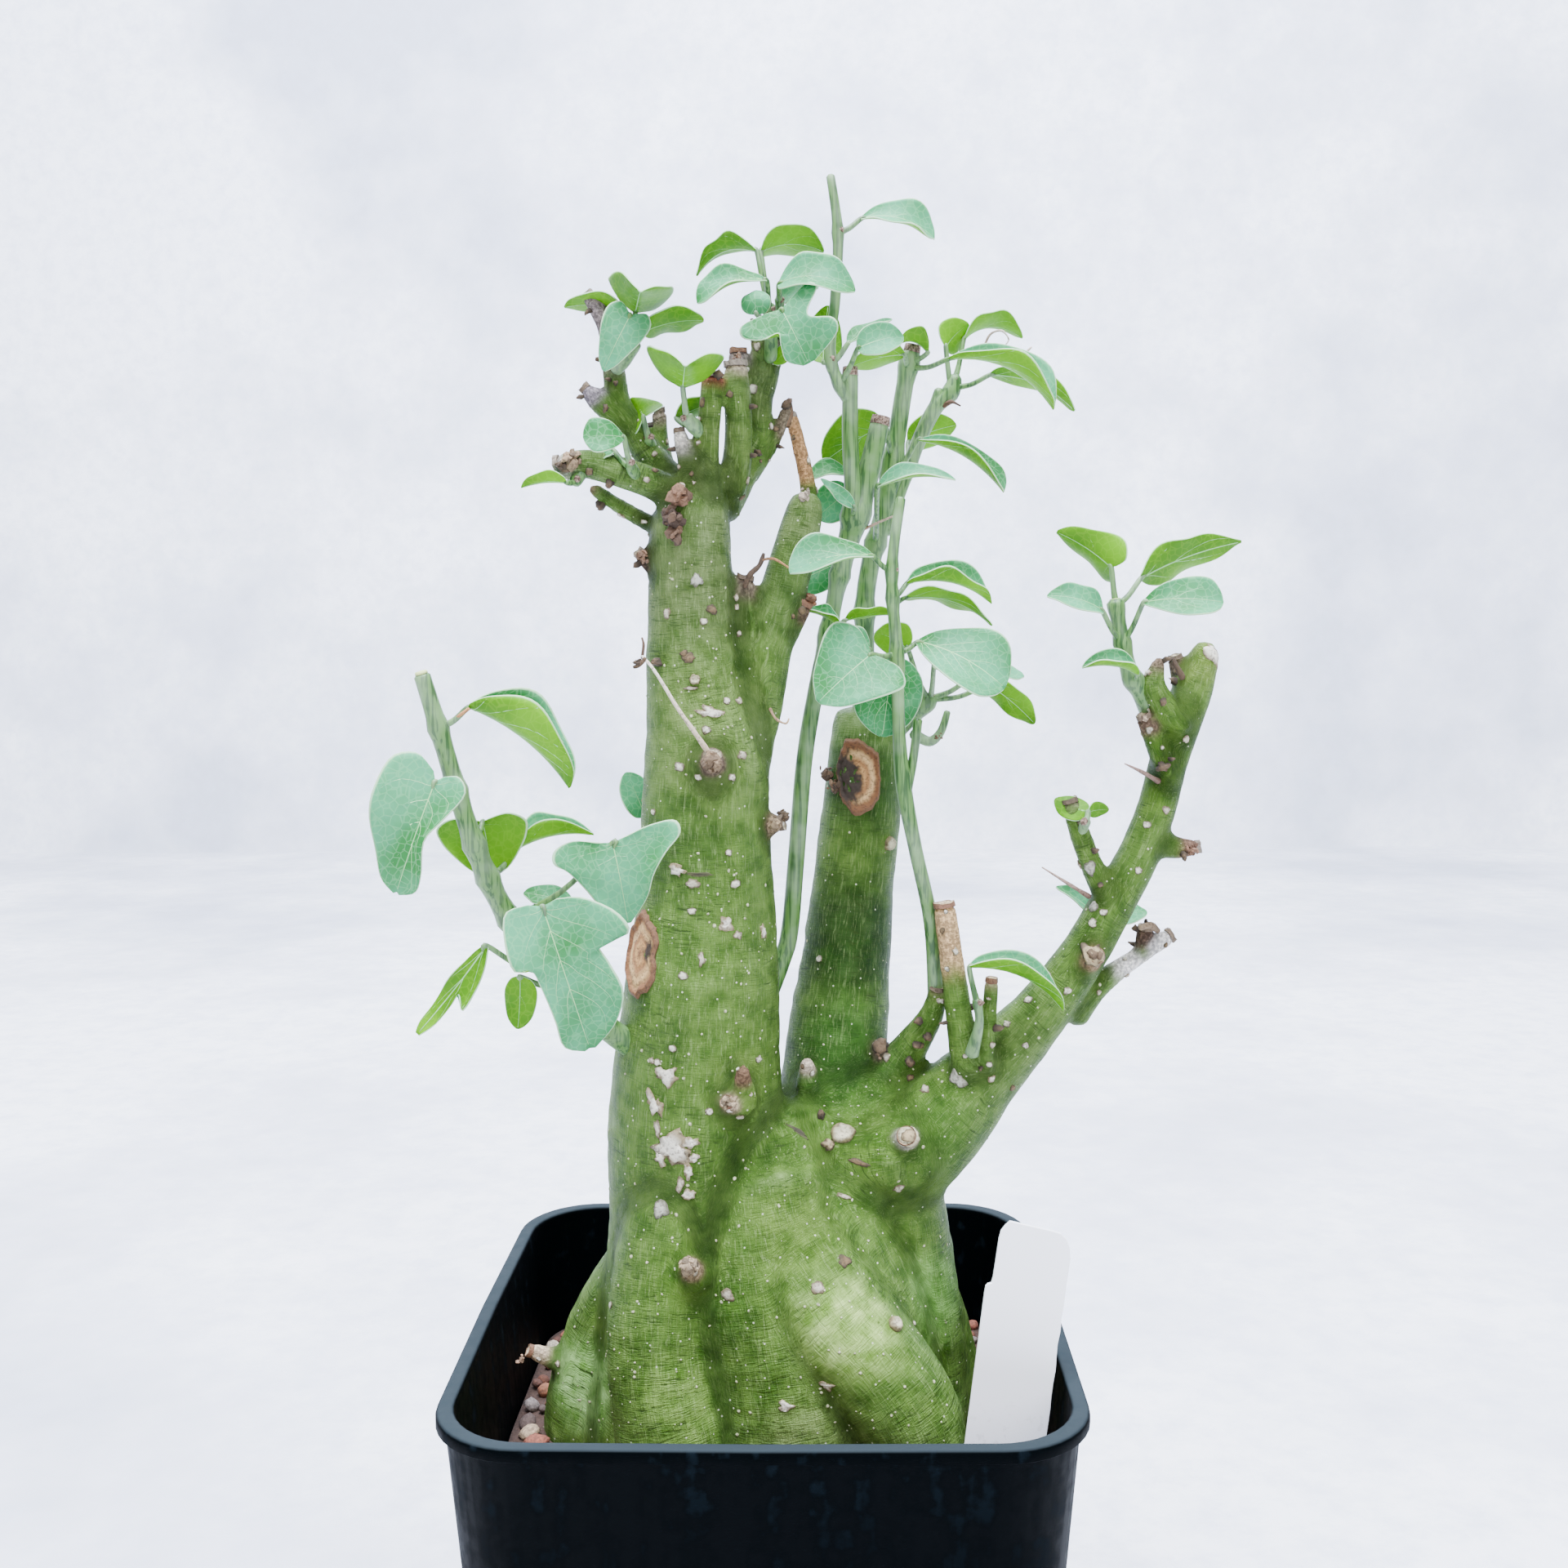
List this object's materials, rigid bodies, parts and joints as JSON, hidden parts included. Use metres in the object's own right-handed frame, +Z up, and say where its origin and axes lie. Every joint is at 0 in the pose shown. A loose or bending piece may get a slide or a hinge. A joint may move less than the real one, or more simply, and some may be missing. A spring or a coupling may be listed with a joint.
{
  "type": "potted adenia",
  "caption": "Potted adenia with a swollen green trunk cut back to stubs and young leafy shoots, rooted in gravel-topped soil in a square nursery pot with a blank label.",
  "frame": {"origin": "middle of the pot's underside, on the surface that it stands on", "axes": "+Z up along the pot's axis, +X to the viewer's right and +Y away from the viewer of the picture; the pot's sides are parallel to X and Y"},
  "size_m": [0.176, 0.131, 0.3699],
  "materials": {
    "black_plastic": "moulded black plastic, satin, with dried water marks",
    "gravel": "coarse mixed gravel in brown, tan and grey over potting mix",
    "white_plastic": "plain white plastic, satin",
    "green_bark": "smooth green succulent bark with fine fibres, cracks and pale lenticels",
    "leaf_green": "thin glaucous green blades with pale veins, yellow-green underneath"
  },
  "bodies": {
    "root": {"pot": "black_plastic", "soil": "gravel", "label": "white_plastic", "trunk": "green_bark", "shoot_left": "leaf_green", "shoot_front": "leaf_green", "shoot_back": "leaf_green", "shoot_middle": "leaf_green", "shoot_right": "leaf_green", "spray_top": "leaf_green", "spray_left": "leaf_green", "spray_inner": "leaf_green", "spray_stump": "leaf_green", "leaf_inner": "leaf_green", "leaf_west": "leaf_green", "leaf_low": "leaf_green", "leaf_stub": "leaf_green", "leaf_behind_arm": "leaf_green", "leaf_crotch": "leaf_green", "leaf_behind_trunk": "leaf_green"}
  },
  "joints": []
}
